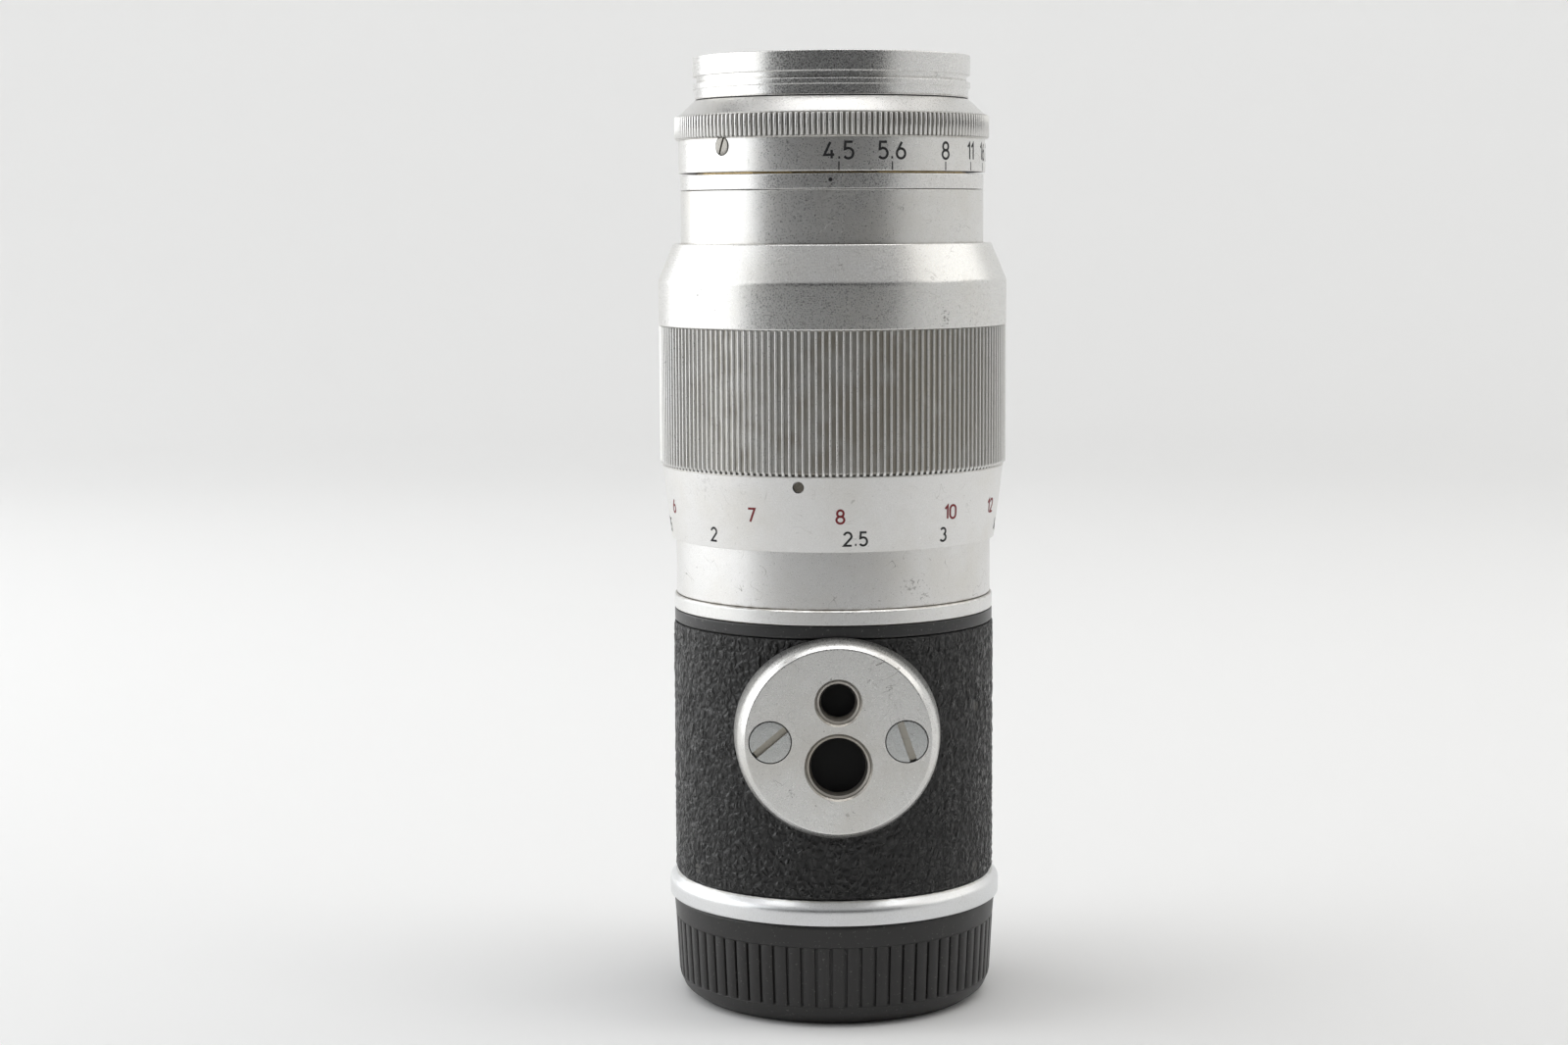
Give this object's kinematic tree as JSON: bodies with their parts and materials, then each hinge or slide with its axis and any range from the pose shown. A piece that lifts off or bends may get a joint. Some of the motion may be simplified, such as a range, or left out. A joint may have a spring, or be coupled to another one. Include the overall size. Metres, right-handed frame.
{
  "type": "prime camera lens",
  "caption": "Long-focus camera lens with a focusing helicoid, an aperture ring driving an iris, a tripod boss and a bayonet rear cap, standing on its cap.",
  "frame": {"origin": "on the optical axis at the flat underside of the rear cap", "axes": "+Z along the optical axis towards the subject, -Y out of the tripod boss, +X to the right when the boss faces the viewer"},
  "size_m": [0.053, 0.0545, 0.1436],
  "materials": {
    "chrome": "satin chrome plate",
    "screw_steel": "turned steel, darkened",
    "blackened_aluminium": "black anodised, matt",
    "brass": "turned brass",
    "leatherette": "black grained covering",
    "black_lacquer": "black lacquer",
    "black_plastic": "moulded black plastic",
    "glass": "single-coated optical glass",
    "red_enamel": "red bead",
    "blued_steel": "blued spring steel"
  },
  "bodies": {
    "mount": {"bayonet_flange": "chrome", "flange_screw_1": "screw_steel", "flange_screw_2": "screw_steel", "flange_screw_3": "screw_steel", "flange_screw_4": "screw_steel", "mount_tube": "blackened_aluminium", "leather_cover": "leatherette", "black_band": "black_lacquer", "sleeve_ring": "chrome", "fixed_sleeve": "chrome", "outer_helicoid": "brass", "guide_key": "screw_steel", "guide_key_screw": "screw_steel", "tripod_boss": "chrome", "boss_screw_left": "chrome", "boss_screw_right": "chrome", "body_screw_1": "screw_steel", "body_screw_2": "screw_steel", "body_screw_3": "screw_steel", "alignment_bead": "red_enamel"},
    "rear_cap": {"rear_cap": "black_plastic"},
    "rangefinder": {"rangefinder_cam": "brass"},
    "head": {"front_rim": "chrome", "front_cell": "blackened_aluminium", "front_retaining_ring": "blackened_aluminium", "front_element": "glass", "middle_cell": "blackened_aluminium", "doublet_front_element": "glass", "doublet_rear_element": "glass", "rear_cell": "blackened_aluminium", "rear_element": "glass", "rear_retaining_ring": "blackened_aluminium", "head_tube": "blackened_aluminium", "head_barrel": "chrome", "index_ring": "chrome", "helicoid_stop_ring": "screw_steel", "iris_housing": "blackened_aluminium", "iris_retaining_ring": "blackened_aluminium"},
    "focus": {"focus_ring": "chrome", "distance_scale_ring": "chrome", "grub_screw_1": "screw_steel", "grub_screw_2": "screw_steel", "grub_screw_3": "screw_steel", "focus_helicoid": "blackened_aluminium"},
    "aperture": {"aperture_ring": "chrome", "aperture_sleeve": "brass", "aperture_stop_screw": "screw_steel", "aperture_drive_pin": "screw_steel", "iris_cam_ring": "brass"},
    "iris_blade_01": {"iris_blade_01": "blued_steel"},
    "iris_blade_02": {"iris_blade_02": "blued_steel"},
    "iris_blade_03": {"iris_blade_03": "blued_steel"},
    "iris_blade_04": {"iris_blade_04": "blued_steel"},
    "iris_blade_05": {"iris_blade_05": "blued_steel"},
    "iris_blade_06": {"iris_blade_06": "blued_steel"},
    "iris_blade_07": {"iris_blade_07": "blued_steel"},
    "iris_blade_08": {"iris_blade_08": "blued_steel"},
    "iris_blade_09": {"iris_blade_09": "blued_steel"},
    "iris_blade_10": {"iris_blade_10": "blued_steel"}
  },
  "joints": [
    {"name": "head_slide", "type": "slide", "parent": "mount", "child": "head", "axis": [0, 0, 1], "range_m": [0, 0.015]},
    {"name": "focus_turn", "type": "hinge", "parent": "head", "child": "focus", "pos_m": [0, 0, 0.09], "axis": [0, 0, 1], "range_deg": [0, 322]},
    {"name": "aperture_turn", "type": "hinge", "parent": "head", "child": "aperture", "pos_m": [0, 0, 0.13], "axis": [0, 0, 1], "range_deg": [-98, 0]},
    {"name": "rangefinder_slide", "type": "slide", "parent": "mount", "child": "rangefinder", "axis": [0, 0, 1], "range_m": [0, 0.0019]},
    {"name": "cap_turn", "type": "hinge", "parent": "mount", "child": "rear_cap", "pos_m": [0, 0, 0.008], "axis": [0, 0, 1], "range_deg": [-45, 0]},
    {"name": "iris_blade_01_pivot", "type": "hinge", "parent": "head", "child": "iris_blade_01", "pos_m": [0.01531, 0.00498, 0.113], "axis": [0, 0, 1], "range_deg": [-39, 0]},
    {"name": "iris_blade_02_pivot", "type": "hinge", "parent": "head", "child": "iris_blade_02", "pos_m": [0.00946, 0.01303, 0.113], "axis": [0, 0, 1], "range_deg": [-39, 0]},
    {"name": "iris_blade_03_pivot", "type": "hinge", "parent": "head", "child": "iris_blade_03", "pos_m": [0, 0.0161, 0.113], "axis": [0, 0, 1], "range_deg": [-39, 0]},
    {"name": "iris_blade_04_pivot", "type": "hinge", "parent": "head", "child": "iris_blade_04", "pos_m": [-0.00946, 0.01303, 0.113], "axis": [0, 0, 1], "range_deg": [-39, 0]},
    {"name": "iris_blade_05_pivot", "type": "hinge", "parent": "head", "child": "iris_blade_05", "pos_m": [-0.01531, 0.00498, 0.113], "axis": [0, 0, 1], "range_deg": [-39, 0]},
    {"name": "iris_blade_06_pivot", "type": "hinge", "parent": "head", "child": "iris_blade_06", "pos_m": [-0.01531, -0.00498, 0.113], "axis": [0, 0, 1], "range_deg": [-39, 0]},
    {"name": "iris_blade_07_pivot", "type": "hinge", "parent": "head", "child": "iris_blade_07", "pos_m": [-0.00946, -0.01303, 0.113], "axis": [0, 0, 1], "range_deg": [-39, 0]},
    {"name": "iris_blade_08_pivot", "type": "hinge", "parent": "head", "child": "iris_blade_08", "pos_m": [0, -0.0161, 0.113], "axis": [0, 0, 1], "range_deg": [-39, 0]},
    {"name": "iris_blade_09_pivot", "type": "hinge", "parent": "head", "child": "iris_blade_09", "pos_m": [0.00946, -0.01303, 0.113], "axis": [0, 0, 1], "range_deg": [-39, 0]},
    {"name": "iris_blade_10_pivot", "type": "hinge", "parent": "head", "child": "iris_blade_10", "pos_m": [0.01531, -0.00498, 0.113], "axis": [0, 0, 1], "range_deg": [-39, 0]}
  ],
  "couplings": [
    {"joint": "head_slide", "follows": "focus_turn", "m_per_rad": 0.0026658},
    {"joint": "rangefinder_slide", "follows": "focus_turn", "m_per_rad": 0.000335},
    {"joint": "iris_blade_01_pivot", "follows": "aperture_turn", "ratio": 0.38},
    {"joint": "iris_blade_02_pivot", "follows": "aperture_turn", "ratio": 0.38},
    {"joint": "iris_blade_03_pivot", "follows": "aperture_turn", "ratio": 0.38},
    {"joint": "iris_blade_04_pivot", "follows": "aperture_turn", "ratio": 0.38},
    {"joint": "iris_blade_05_pivot", "follows": "aperture_turn", "ratio": 0.38},
    {"joint": "iris_blade_06_pivot", "follows": "aperture_turn", "ratio": 0.38},
    {"joint": "iris_blade_07_pivot", "follows": "aperture_turn", "ratio": 0.38},
    {"joint": "iris_blade_08_pivot", "follows": "aperture_turn", "ratio": 0.38},
    {"joint": "iris_blade_09_pivot", "follows": "aperture_turn", "ratio": 0.38},
    {"joint": "iris_blade_10_pivot", "follows": "aperture_turn", "ratio": 0.38}
  ]
}
